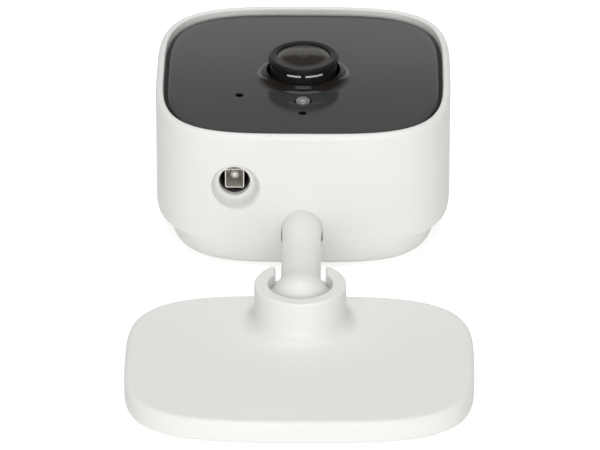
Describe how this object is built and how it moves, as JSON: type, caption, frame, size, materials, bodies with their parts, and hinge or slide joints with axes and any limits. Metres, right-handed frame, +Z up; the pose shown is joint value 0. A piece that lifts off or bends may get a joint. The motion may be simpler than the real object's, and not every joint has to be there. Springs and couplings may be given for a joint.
{
  "type": "security camera",
  "caption": "Compact indoor security camera: rounded-square head with smoked front and lens, on a short neck with a ball in the collar of a flat base.",
  "frame": {"origin": "middle of the base's underside, on the surface that it stands on", "axes": "+Z up out of the base plate, -Y towards the base's front edge, +Y towards the side that the neck folds to; the camera lies folded flat, its lens facing +Z"},
  "size_m": [0.0676, 0.1305, 0.0332],
  "materials": {
    "white_shell": "fine matt moulded white",
    "pale_plastic": "matt moulded off-white",
    "steel": "bright zinc-plated steel",
    "pad_rubber": "matt dark rubber",
    "smoked_panel": "polished smoked panel",
    "black_metal": "satin black",
    "coated_glass": "coated lens glass",
    "clear_lens": "clear polished plastic",
    "black_plastic": "matt black moulded",
    "copper": "enamelled copper wire",
    "board": "green solder mask",
    "chip": "black epoxy package",
    "pale_ceramic": "pale ceramic and resin",
    "aluminium": "plain aluminium",
    "thermal_gum": "soft blue-grey pad",
    "lead_sleeve": "thin insulated lead"
  },
  "bodies": {
    "base": {"base_shell": "white_shell", "bottom_cover": "pale_plastic", "weight_plate": "steel", "anti_slip_pad": "pad_rubber", "cover_screws": "steel", "retainer_plate": "steel", "retainer_screws": "steel", "spring_washer": "steel"},
    "cup": {"friction_cup": "pale_plastic"},
    "ball": {"ball": "white_shell"},
    "reset_button": {"reset_button": "pale_plastic"},
    "ir_filter": {"ir_filter_carrier": "black_plastic", "ir_filter_glass": "coated_glass"},
    "head": {"ball_screw": "steel", "neck": "white_shell", "neck_screw": "steel", "rear_cover": "white_shell", "case_screws": "steel", "front_shell": "white_shell", "front_panel": "smoked_panel", "panel_tape": "pad_rubber", "lens_barrel": "black_metal", "front_lens": "coated_glass", "inner_lenses": "coated_glass", "lens_spacers": "black_metal", "lens_holder": "black_plastic", "ir_cut_housing": "black_plastic", "ir_cut_coil": "copper", "image_sensor": "chip", "main_board": "board", "board_screws": "steel", "led_board": "board", "led_board_screws": "steel", "ir_leds": "pale_ceramic", "light_sensor": "clear_lens", "status_led": "pale_ceramic", "light_pipe": "clear_lens", "microphone": "pale_ceramic", "mic_boot": "pad_rubber", "board_ribbon": "pale_ceramic", "processor": "chip", "thermal_pad": "thermal_gum", "heat_spreader": "aluminium", "memory_chips": "chip", "wifi_module": "aluminium", "antenna": "black_plastic", "antenna_cable": "lead_sleeve", "speaker": "black_plastic", "speaker_gasket": "pad_rubber", "speaker_lead": "lead_sleeve", "dc_jack": "black_plastic", "dc_jack_contacts": "steel", "card_socket": "steel", "reset_switch": "black_plastic"}
  },
  "joints": [
    {"name": "cup_pan", "type": "hinge", "parent": "base", "child": "cup", "pos_m": [0, 0.0148, 0.0089], "axis": [0, 0, 1], "range_deg": [-4, 4]},
    {"name": "neck_tilt", "type": "hinge", "parent": "cup", "child": "ball", "pos_m": [0, 0.0148, 0.0089], "axis": [1, 0, 0], "range_deg": [0, 110]},
    {"name": "head_turn", "type": "hinge", "parent": "ball", "child": "head", "pos_m": [0, 0.0148, 0.0089], "axis": [0, 1, 0], "continuous": true},
    {"name": "reset_press", "type": "slide", "parent": "head", "child": "reset_button", "axis": [-1, 0, 0], "range_m": [0, 0.0004], "stiffness_N_per_m": 800},
    {"name": "ir_filter_shift", "type": "slide", "parent": "head", "child": "ir_filter", "axis": [0, -1, 0], "range_m": [0, 0.0066]}
  ]
}
